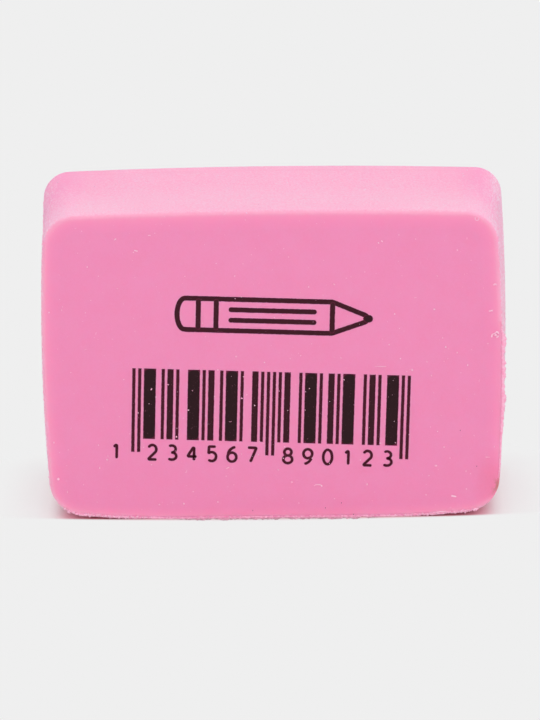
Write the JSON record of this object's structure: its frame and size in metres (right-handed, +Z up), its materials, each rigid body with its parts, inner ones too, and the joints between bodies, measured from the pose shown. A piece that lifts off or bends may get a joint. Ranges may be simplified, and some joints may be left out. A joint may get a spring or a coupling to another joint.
{
  "type": "block eraser",
  "caption": "Rectangular block eraser of soft pink vinyl with bowed edges, rounded corners and flared, slightly waisted walls, standing on its long narrow side.",
  "frame": {"origin": "middle of the base, on the surface that the block stands on", "axes": "+X along the block's length, +Y from the printed face to the back face, +Z up"},
  "size_m": [0.0426, 0.013, 0.0295],
  "materials": {
    "pink_vinyl": "soft matt vinyl, faintly translucent, with a dusting of talc on the cut walls",
    "print_ink": "thin matt black-brown pad-printed ink with slightly grainy edges",
    "talc_and_crumbs": "pale vinyl crumbs and lint whitened by talc"
  },
  "bodies": {
    "root": {"eraser_block": "pink_vinyl"}
  },
  "joints": []
}
